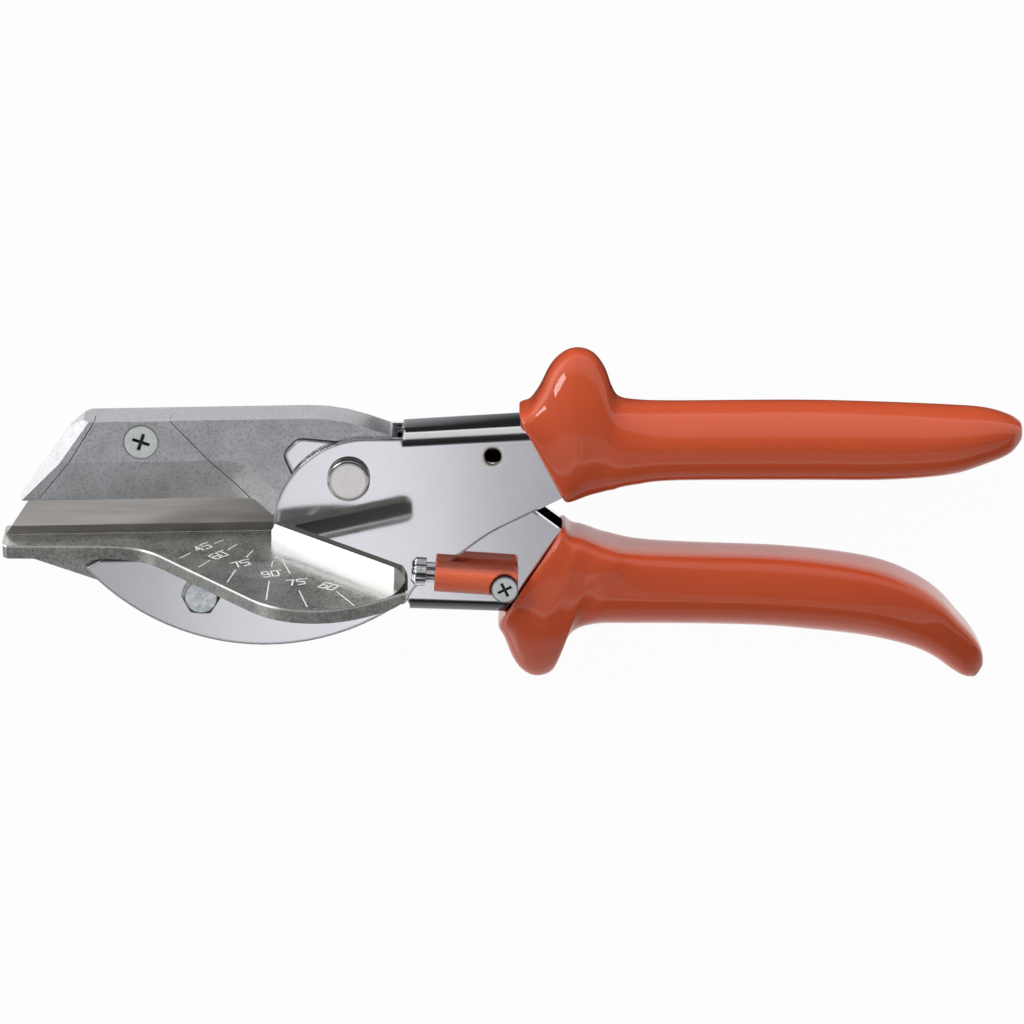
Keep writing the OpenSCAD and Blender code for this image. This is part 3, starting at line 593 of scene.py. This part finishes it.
def paint(node, material, edge=0.0, segments=2, sharp=32):
    """Gives a carried CAD node its material and eases its sharp edges by a width in millimetres."""
    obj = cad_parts[node]
    obj.data.materials.clear()
    obj.data.materials.append(material)
    if edge:
        weld = obj.modifiers.new("weld", "WELD")
        weld.merge_threshold = WELD_GAP
        flat = obj.modifiers.new("flat", "DECIMATE")
        flat.decimate_type = "DISSOLVE"
        flat.angle_limit = FLAT_ANGLE
        ease = obj.modifiers.new("ease", "BEVEL")
        ease.width = edge * MM
        ease.segments = segments
        ease.limit_method = "ANGLE"
        ease.angle_limit = math.radians(sharp)
        ease.use_clamp_overlap = True
        ease.miter_outer = "MITER_ARC"
        shade = obj.modifiers.new("shade", "WEIGHTED_NORMAL")
        shade.keep_sharp = False
        shade.weight = FACE_WEIGHT


paint("outer_channel", outer_chrome)
paint("inner_channel", inner_chrome)
paint("blade_holder", casting, edge=0.22, sharp=16)
paint("blade_clamp", casting, edge=0.15, sharp=16)
paint("anvil_table", table_metal, edge=0.50, segments=3)
paint("blade", blade_steel)
paint("pivot_bolt", pivot_zinc, edge=0.25, segments=3)
paint("anvil_bolt", bolt_zinc, edge=0.2)
paint("clamp_screw", screw_metal("clamp_zinc", "clamp_screw"))
paint("latch_screw", screw_metal("latch_zinc", "latch_screw"))
for name in ("anvil_nut", "pivot_nut", "latch_nut", "latch_spacer"):
    paint(name, plated, edge=0.15)
paint("latch_pin", dark_plated, edge=0.15)
for name in ("blade_pins", "holder_rivets", "upper_spring_seat", "lower_spring_seat"):
    paint(name, plated)
paint("latch_sleeve", sleeve_plastic)


# Mesh helpers


def new_mesh(name, points, faces, material, smooth=True):
    mesh = bpy.data.meshes.new(name)
    mesh.from_pydata([tuple(p) for p in points], [], faces)
    mesh.update()
    for polygon in mesh.polygons:
        polygon.use_smooth = smooth
    mesh.materials.append(material)
    obj = bpy.data.objects.new(name, mesh)
    bpy.context.collection.objects.link(obj)
    return obj


def sheet(name, across, deep, height, material):
    """One flat level face."""
    (x0, x1), (y0, y1) = across, deep
    corners = [(x0, y0, 0), (x1, y0, 0), (x1, y1, 0), (x0, y1, 0)]
    made = new_mesh(name, corners, [(0, 1, 2, 3)], material, smooth=False)
    made.location.z = height
    return made


def spline(points, u):
    """A smooth curve through rows of numbers, at place u."""
    last = len(points) - 1
    i = min(int(u), last - 1)
    f = u - i
    a, b, c, d = (points[max(0, min(last, k))] for k in (i - 1, i, i + 1, i + 2))
    cubic = (a - 2.5 * b + 2 * c - d / 2) + f * (1.5 * (b - c) + (d - a) / 2)
    return b + f * ((c - a) / 2 + f * cubic)


# Dipped grips: the same stations as the solids, with finer rings and a rolled rim
OUTER_FACE = 7.4
INNER_FACE = 5.7
NEST_GAP = 0.2
SHEET = 1.5
GRIP_HALF = 10.4
RIM_WALL = 1.2
UPPER_RIM = OUTER_FACE + RIM_WALL
LOWER_RIM = INNER_FACE + NEST_GAP + SHEET + RIM_WALL
RING_POINTS = 96
RINGS = 10
LEAN_SOFTNESS = 0.25
RELAX_FACTOR = 0.5
RELAX_ROUNDS = 12

# Least squareness of the flat half, by its side, and the camera's tilt as cosine and sine
FLAT_POWER = {-1: 3.6, 1: 5.0}
SEEN = (0.954, 0.301)
LEAST_ARM = 0.01

# Rings of the rolled rim: inset, way back from the mouth, share of the pad
ROLLED_RIM = (
    (RIM_WALL - 0.05, 0.35, 1.0), (0.8, 0.08, 0.6), (0.5, 0.0, 0.2), (0.22, 0.06, 0.0),
    (0.06, 0.22, 0.0))

# Each station: x and y of its top and bottom, half width, lean and squareness
UPPER_STATIONS = np.array([
    [39.6, 14.9, 50.6, -6.2, UPPER_RIM, 0, 6],
    [40.6, 15.5, 51.4, -6.4, GRIP_HALF - 1.2, 0.05, 5.5],
    [42.4, 16.5, 52.2, -6.3, GRIP_HALF - 0.9, 0.15, 5],
    [44.6, 20.0, 53.2, -6.1, GRIP_HALF - 0.6, 0.3, 4.5],
    [47.2, 25.4, 54.4, -5.8, GRIP_HALF - 0.3, 0.4, 4],
    [50.4, 28.6, 55.8, -5.4, GRIP_HALF, 0.46, 3.6],
    [53.8, 29.5, 57.2, -5.05, GRIP_HALF, 0.48, 3.4],
    [57.2, 28.2, 58.8, -4.7, GRIP_HALF, 0.46, 3.2],
    [59.8, 24.6, 60.4, -4.3, GRIP_HALF, 0.4, 3],
    [61.5, 19.8, 62.0, -4.0, GRIP_HALF, 0.25, 2.8],
    [63.2, 17.4, 63.6, -3.5, GRIP_HALF, 0.14, 2.6],
    [67.0, 16.75, 67.0, -3.05, GRIP_HALF, 0.14, 2.3],
    [76.0, 16.6, 76.0, -2.15, GRIP_HALF, 0.2, 2.1],
    [105.0, 16.8, 105.0, -2.0, GRIP_HALF, 0.22, 2.1],
    [125.0, 16.3, 125.0, -2.0, GRIP_HALF - 0.1, 0.2, 2.1],
    [140.0, 15.6, 140.0, -0.75, GRIP_HALF - 0.5, 0.15, 2.1],
    [148.5, 14.95, 148.5, 1.8, GRIP_HALF - 1.9, 0.1, 2.1],
    [154.5, 13.2, 154.5, 4.5, GRIP_HALF - 4.2, 0, 2.3],
    [157.4, 11.5, 157.4, 7.9, GRIP_HALF - 7.4, 0, 2.3]])
UPPER_TIP = (158.4, 9.8)
UPPER_PAD = 0.0

LOWER_STATIONS = np.array([
    [50.2, -12.0, 34.9, -35.9, LOWER_RIM, 0.1, 3.4],
    [51.0, -12.4, 34.8, -38.0, GRIP_HALF - 1.3, 0, 3.4],
    [52.0, -13.4, 36.2, -40.7, GRIP_HALF - 0.8, -0.15, 3.4],
    [53.2, -14.0, 38.1, -45.7, GRIP_HALF - 0.4, -0.3, 3.4],
    [54.6, -14.2, 40.5, -49.2, GRIP_HALF, -0.42, 3.3],
    [56.0, -14.6, 43.9, -50.8, GRIP_HALF, -0.48, 3.2],
    [57.6, -15.2, 47.8, -49.2, GRIP_HALF, -0.46, 3.1],
    [59.4, -15.9, 49.7, -43.4, GRIP_HALF, -0.36, 3],
    [61.6, -16.5, 52.6, -39.0, GRIP_HALF, -0.2, 2.9],
    [65.0, -17.2, 57.3, -37.2, GRIP_HALF, 0.05, 2.6],
    [72.0, -17.8, 67.0, -37.1, GRIP_HALF, 0.15, 2.45],
    [84.0, -18.2, 83.0, -37.2, GRIP_HALF, 0.22, 2.4],
    [100.0, -18.7, 98.0, -37.7, GRIP_HALF, 0.25, 2.35],
    [114.0, -20.0, 110.0, -38.9, GRIP_HALF, 0.22, 2.2],
    [125.5, -22.2, 119.5, -40.1, GRIP_HALF - 0.3, 0.16, 2.1],
    [134.0, -26.0, 127.0, -41.5, GRIP_HALF - 1.0, 0.1, 2.2],
    [140.0, -30.5, 133.2, -43.3, GRIP_HALF - 2.0, 0, 2.3],
    [144.5, -35.6, 137.9, -45.7, GRIP_HALF - 3.2, 0, 2.3],
    [147.8, -39.8, 142.0, -48.8, GRIP_HALF - 4.6, 0, 2.3],
    [149.7, -43.6, 145.2, -50.8, GRIP_HALF - 6.0, 0, 2.3],
    [150.0, -47.4, 148.0, -51.2, GRIP_HALF - 7.9, 0, 2.3]])
LOWER_TIP = (149.6, -49.8)
LOWER_PAD = 2.0


def lean_at(lean, q):
    """How much a section narrows at height q: nothing below its middle, most at its end."""
    q = q if lean > 0 else -q
    if q <= 0:
        return 0.0
    return abs(lean) * (1 + LEAN_SOFTNESS) * q * q / (q + LEAN_SOFTNESS)


def reach_of(arm, half, squareness):
    """How far a section stands out in the camera's picture, by its support in that direction."""
    power = squareness / (squareness - 1)
    return ((arm * SEEN[0]) ** power + (half * SEEN[1]) ** power) ** (1 / power)


def flat_arm(arm, half, squareness, flat):
    """The arm of a squarer half section with the same outline in the camera's picture."""
    power = flat / (flat - 1)
    left = reach_of(arm, half, squareness) ** power - (half * SEEN[1]) ** power
    return max(left, LEAST_ARM) ** (1 / power) / SEEN[0]


def grip_ring(station, flat_side, inset=0.0, pad=0.0):
    """One cross-section of a grip, squarer on its flat side.

    An inset draws the ring in towards its middle, a pad its foot.
    """
    xt, yt, xb, yb, half, lean, squareness = station
    top, bottom = np.array([xt, yt]), np.array([xb, yb])
    middle, arm = (top + bottom) / 2, (top - bottom) / 2
    size = np.linalg.norm(arm)
    flat = max(squareness, FLAT_POWER[flat_side])
    flat_size = flat_arm(size, half, squareness, flat)
    points = []
    for k in range(RING_POINTS):
        t = 2 * math.pi * k / RING_POINTS
        c, s = math.cos(t), math.sin(t)
        on_flat = s * flat_side > 0
        power = 2 / (flat if on_flat else squareness)
        reach = (flat_size if on_flat else size) - inset - pad * max(0.0, -s)
        qx = math.copysign(abs(c) ** power, c)
        qy = math.copysign(abs(s) ** power, s)
        x, y = middle + arm * (reach / size) * qy
        z = (half - inset) * qx * (1 - lean_at(lean, qy)) + MID_Z
        points.append(mm(x, y, z))
    return points


def grip(name, stations, tip, flat_side, pad):
    """A grip: the wall inside its mouth, the rolled rim, the rings of its stations and its tip."""
    rings = [grip_ring(spline(stations, 0.5), flat_side, RIM_WALL, pad)]
    for inset, back, share in ROLLED_RIM:
        mouth = stations[0] + np.array([back, 0, back, 0, 0, 0, 0])
        rings.append(grip_ring(mouth, flat_side, inset, pad * share))
    count = (len(stations) - 1) * RINGS
    for i in range(2, count + 1):
        rings.append(grip_ring(spline(stations, i / RINGS), flat_side))
    points = [p for ring in rings for p in ring]
    faces = []
    n = RING_POINTS
    for i in range(len(rings) - 1):
        for j in range(n):
            k = (j + 1) % n
            faces.append((i * n + k, i * n + j, (i + 1) * n + j, (i + 1) * n + k))
    points.append(mm(*tip, MID_Z))
    last = (len(rings) - 1) * n
    faces += [(last + (j + 1) % n, last + j, len(points) - 1) for j in range(n)]
    made = new_mesh(name, points, faces, grip_vinyl)
    relax = made.modifiers.new("relax", "SMOOTH")
    relax.factor = RELAX_FACTOR
    relax.iterations = RELAX_ROUNDS
    return made


upper = grip("upper_grip_vinyl", UPPER_STATIONS, UPPER_TIP, -1, UPPER_PAD)
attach(upper, "anvil_lever")
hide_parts("upper_grip")
lower = grip("lower_grip_vinyl", LOWER_STATIONS, LOWER_TIP, 1, LOWER_PAD)
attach(lower, "blade_lever")
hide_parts("lower_grip")


# Angle marks on the table, as low ridges in its own plane
MARK_RISE = 0.05
MARK_SINK = 0.02
CREST_PART = 5
STROKE = 0.50
LINE = 0.38
DIGIT = (1.5, 3.0)
DIGIT_GAP = 0.7
DOT_GAP = 0.6
DOT_LENGTH = 0.3

# Each mark: ends of its inner and outer strokes, place of the number, its turn and its digits
MARKS = [
    ((-29.7, 5.5, -31.5, 7.2), (-37.0, 13.0, -39.2, 15.9), (-34.4, 9.6), -41, "45"),
    ((-26.4, 8.3, -28.2, 11.2), (-32.2, 17.6, -34.5, 21.4), (-30.3, 14.6), -46, "60"),
    ((-22.4, 12.1, -23.7, 15.9), (-25.9, 23.5, -27.4, 30.4), (-24.9, 19.8), -29, "75"),
    ((-17.5, 18.7, -17.6, 21.7), (-17.8, 30.4, -18.0, 41.0), (-17.7, 26.1), -14, "90"),
    ((-15.4, 17.5, -13.2, 26.0), (-10.7, 36.2, -8.6, 45.3), (-11.6, 31.2), -12, "75"),
    ((), (-2.0, 37.2, 2.2, 45.3), (-4.0, 33.9), 32, "60"),
]

# Strokes of the digits on a grid two wide and four high
DIGIT_GRID = (2, 4)
DIGITS = {
    "0": [[(0, 0), (2, 0), (2, 4), (0, 4), (0, 0)]],
    "4": [[(1.5, 0), (1.5, 4), (0, 1.4), (2, 1.4)]],
    "5": [[(0, 0), (2, 0), (2, 2.2), (0, 2.2), (0, 4), (2, 4)]],
    "6": [[(2, 4), (0, 4), (0, 0), (2, 0), (2, 2.2), (0, 2.2)]],
    "7": [[(0, 4), (2, 4), (0.8, 0)]],
    "9": [[(0, 0), (2, 0), (2, 4), (0, 4), (0, 1.9), (2, 1.9)]],
}

# Faces of a ridge, by the corners of its foot (0 to 3) and of its crest (4 to 7)
RIDGE_FACES = (
    (4, 5, 7, 6), (0, 1, 5, 4), (1, 3, 7, 5), (3, 2, 6, 7), (2, 0, 4, 6), (0, 2, 3, 1))


def on_table(x, s, rise):
    """A point of the table: x along the blade, s towards the front, rise above its surface."""
    y = -TABLE_DROP - s * math.sin(TABLE_SLOPE) + rise * math.cos(TABLE_SLOPE)
    z = s * math.cos(TABLE_SLOPE) + rise * math.sin(TABLE_SLOPE)
    dx, dy = x - HEAD_HEEL[0], y - HEAD_HEEL[1]
    c, n = math.cos(HEAD_TILT), math.sin(HEAD_TILT)
    return mm(HEAD_HEEL[0] + c * dx - n * dy, HEAD_HEEL[1] + n * dx + c * dy, MID_Z + z)


def stroke(a, b, width, points, faces):
    """A low ridge from a to b with sloped sides and ends."""
    a, b = np.array(a, float), np.array(b, float)
    along = (b - a) / np.linalg.norm(b - a)
    side = np.array([-along[1], along[0]])
    first = len(points)
    for half, rise in ((width / 2, -MARK_SINK), (width / CREST_PART, MARK_RISE)):
        for end, sign in ((a, -1), (b, 1)):
            for flank in (-1, 1):
                p = end + along * sign * half + side * flank * half
                points.append(on_table(p[0], p[1], rise))
    for corners in RIDGE_FACES:
        faces.append(tuple(first + k for k in corners))


def digit_strokes(text, centre, turn, points, faces):
    """A number with its degree dot, turned about its centre."""
    c, s = math.cos(math.radians(turn)), math.sin(math.radians(turn))
    wide, high = DIGIT
    whole = len(text) * wide + (len(text) - 1) * DIGIT_GAP
    for i, letter in enumerate(text):
        left = -whole / 2 + i * (wide + DIGIT_GAP)
        for line in DIGITS[letter]:
            place = []
            for gx, gy in line:
                px = left + gx * wide / DIGIT_GRID[0]
                py = high / 2 - gy * high / DIGIT_GRID[1]
                place.append((centre[0] + c * px - s * py, centre[1] + s * px + c * py))
            for a, b in zip(place, place[1:]):
                stroke(a, b, STROKE, points, faces)
    beside = whole / 2 + DOT_GAP
    dot = (centre[0] + c * beside + s * high / 2, centre[1] + s * beside - c * high / 2)
    stroke(dot, (dot[0] + DOT_LENGTH * c, dot[1] + DOT_LENGTH * s), STROKE, points, faces)


def angle_marks():
    points, faces = [], []
    for inner, outer, centre, turn, text in MARKS:
        for line in (inner, outer):
            if line:
                stroke(line[:2], line[2:], LINE, points, faces)
        digit_strokes(text, centre, turn, points, faces)
    return new_mesh("angle_marks", points, faces, marks, smooth=False)


scale = angle_marks()
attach(scale, "anvil_lever")


# Return spring: a fine coil between its two seats
spring_low, spring_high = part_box("return_spring")
WIRE_D = 1.1
CLOSED_GAP = 0.6
TURNS = 9
WIRE_SIDES = 12
STEPS = 40


def coil():
    """A coil of round wire with a closed turn at each end."""
    wire = WIRE_D * MM / 2
    middle_x = (spring_low.x + spring_high.x) / 2
    middle_z = (spring_low.z + spring_high.z) / 2
    radius = (spring_high.x - spring_low.x) / 2 - wire
    foot, top = spring_low.y + wire, spring_high.y - wire
    closed = (WIRE_D + CLOSED_GAP) * MM
    pitch = (top - foot - 2 * closed) / (TURNS - 2)
    points, faces = [], []
    count = TURNS * STEPS
    n = WIRE_SIDES
    for i in range(count + 1):
        t = i / STEPS
        if t < 1:
            y = foot + t * closed
        elif t < TURNS - 1:
            y = foot + closed + (t - 1) * pitch
        else:
            y = top - (TURNS - t) * closed
        a = 2 * math.pi * t
        for j in range(n):
            b = 2 * math.pi * j / n
            r = radius + wire * math.cos(b)
            points.append((middle_x + r * math.cos(a), y + wire * math.sin(b),
                           middle_z - r * math.sin(a)))
    for i in range(count):
        for j in range(n):
            k = (j + 1) % n
            faces.append((i * n + j, (i + 1) * n + j, (i + 1) * n + k, i * n + k))
    faces.append(tuple(range(n)))
    faces.append(tuple(count * n + j for j in reversed(range(n))))
    return new_mesh("return_coil", points, faces, spring_steel)


spring = coil()
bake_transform(spring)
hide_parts("return_spring")


# Camera at the photograph's angle
TILT = math.radians(17.5)
DISTANCE = 1.2
AIM = Vector((0.0381, -0.01044, 0.0104))
SENSOR = 36
LENS = 179.3
FAR_END = 50
camera = bpy.data.objects.new("camera", bpy.data.cameras.new("camera"))
bpy.context.collection.objects.link(camera)
camera.data.sensor_width = SENSOR
camera.data.lens = LENS
camera.data.clip_end = FAR_END
camera.location = AIM + DISTANCE * Vector((0, math.sin(TILT), math.cos(TILT)))
camera.rotation_euler = (-TILT, 0, 0)
bpy.context.scene.camera = camera


# Floor: white to the camera and in reflections, with a trace of the object's shadow
FLOOR_SPAN = (-8.0, 8.0)
FLOOR_Z = -0.0003
FLOOR_PALE = (0.88, 0.88, 0.88)
FLOOR_GLOW = 0.97


def make_floor():
    made, g = bare_material("pale_floor")
    path = g.add("ShaderNodeLightPath").outputs
    seen = g.math("MAXIMUM", path["Is Camera Ray"], path["Is Glossy Ray"])
    seen = g.math("MAXIMUM", seen, path["Is Transmission Ray"])
    diffuse = g.add("ShaderNodeBsdfDiffuse", {"Color": FLOOR_PALE}).outputs[0]
    glow = g.add("ShaderNodeEmission", {"Color": WHITE, "Strength": 1.0}).outputs[0]
    both = g.add("ShaderNodeMixShader", {0: g.times(seen, FLOOR_GLOW), 1: diffuse, 2: glow})
    out = g.add("ShaderNodeOutputMaterial")
    g.put(out.inputs[0], both.outputs[0])
    floor = sheet("floor", FLOOR_SPAN, FLOOR_SPAN, FLOOR_Z, made)


make_floor()


# A dark card on the floor behind the handles, seen only in reflections
CARD_X = (0.006, 0.175)
CARD_Y = (0.0124, 0.1124)
CARD_Z = -0.0001
CARD_TONES = [
    (0.0, (0.50, 0.52, 0.53)), (0.010, (0.30, 0.31, 0.32)), (0.022, (0.16, 0.165, 0.17)),
    (0.036, (0.02, 0.02, 0.02)), (0.75, (0.02, 0.02, 0.02)), (1.0, (0.8, 0.8, 0.8))]


def make_card():
    made, g = bare_material("dark_card")
    depth = g.rise(g.axis(g.place(), "Y"), *CARD_Y)
    glow = g.add("ShaderNodeEmission", {"Color": g.ramp(depth, CARD_TONES), "Strength": 1.0})
    out = g.add("ShaderNodeOutputMaterial")
    g.put(out.inputs[0], glow.outputs[0])
    card = sheet("dark_card", CARD_X, CARD_Y, CARD_Z, made)
    card.visible_camera = card.visible_diffuse = False
    card.visible_shadow = card.visible_transmission = False


make_card()


# Light: a world of broad soft panels, arranged by direction around the long axis

# Panels: degrees from the far side at 0 over the top at 90 to the near side, and brightness
PANELS = [
    (-180, 0.9), (-20, 0.72), (42, 0.66), (49, 0.03), (72, 0.03), (83, 0.10), (97, 0.10),
    (99.5, 0.5), (111, 0.5), (112, 0.95), (114.5, 0.95), (116, 0.03), (135, 0.03), (147, 0.48),
    (163, 0.60), (171, 0.8), (180, 0.9)]

# The window that the cheeks reflect: places along X and brightness, in a faint lavender
WINDOW = [
    (-0.2, 0.40), (-0.075, 0.41), (-0.050, 0.78), (-0.030, 0.88), (-0.020, 0.86),
    (-0.012, 0.70), (0.002, 0.40), (0.03, 0.40), (0.2, 0.5)]
WINDOW_HALF = 0.2
WINDOW_INNER = 0.15
LAVENDER = (0.985, 0.975, 1.02)
WINDOW_START = (math.radians(97), math.radians(99.5))
WINDOW_END = (math.radians(110.5), math.radians(111.5))
SIDE_PANEL = (2.3, 2.3, 2.3)


def make_world():
    world = bpy.data.worlds.new("studio")
    bpy.context.scene.world = world
    world.use_nodes = True
    g = Graph(world.node_tree)
    x, y, z = g.axes(g.add("ShaderNodeTexCoord").outputs["Generated"])
    angle = g.math("ARCTAN2", z, y)
    turn = g.math("ADD", g.math("DIVIDE", angle, 2 * math.pi), 0.5)
    panels = g.ramp(turn, [((degrees + 180) / 360, (v, v, v)) for degrees, v in PANELS])

    width = 2 * WINDOW_HALF
    stops = [((at + WINDOW_HALF) / width, tuple(v * c for c in LAVENDER)) for at, v in WINDOW]
    window = g.ramp(g.times(g.math("ADD", x, WINDOW_HALF), 1 / width), stops)
    front = g.times(g.rise(angle, *WINDOW_START), g.fall(angle, *WINDOW_END))
    near = g.times(front, g.fall(g.math("ABSOLUTE", x), WINDOW_INNER, WINDOW_HALF))
    side = g.times(g.fall(x, -0.72, -0.35), g.fall(z, 0.2, 0.45))
    light = g.layers(panels, (near, window), (side, SIDE_PANEL))

    seen = g.add("ShaderNodeLightPath").outputs["Is Camera Ray"]
    lit = g.add("ShaderNodeBackground", {"Color": light, "Strength": 1.0}).outputs[0]
    white = g.add("ShaderNodeBackground", {"Color": WHITE, "Strength": 1.0}).outputs[0]
    both = g.add("ShaderNodeMixShader", {0: seen, 1: lit, 2: white})
    out = g.add("ShaderNodeOutputWorld")
    g.put(out.inputs[0], both.outputs[0])


make_world()


def soft_lamp(name, place, aim, size, power, glossy):
    lamp = bpy.data.lights.new(name, "AREA")
    lamp.shape = "RECTANGLE"
    lamp.size, lamp.size_y = size
    lamp.energy = power
    obj = bpy.data.objects.new(name, lamp)
    bpy.context.collection.objects.link(obj)
    obj.location = place
    obj.rotation_euler = (Vector(aim) - Vector(place)).to_track_quat("-Z", "Y").to_euler()
    obj.visible_glossy = glossy


soft_lamp("fill", place=(0.05, 1.05, 0.25), aim=(0.04, 0, 0), size=(0.7, 0.7), power=4.8,
          glossy=False)
soft_lamp("key", place=(-0.55, 0.51, 0.65), aim=(0.049, 0.023, 0.017), size=(0.40, 0.20),
          power=2.1, glossy=True)

view = bpy.context.scene.view_settings
view.view_transform = "Standard"
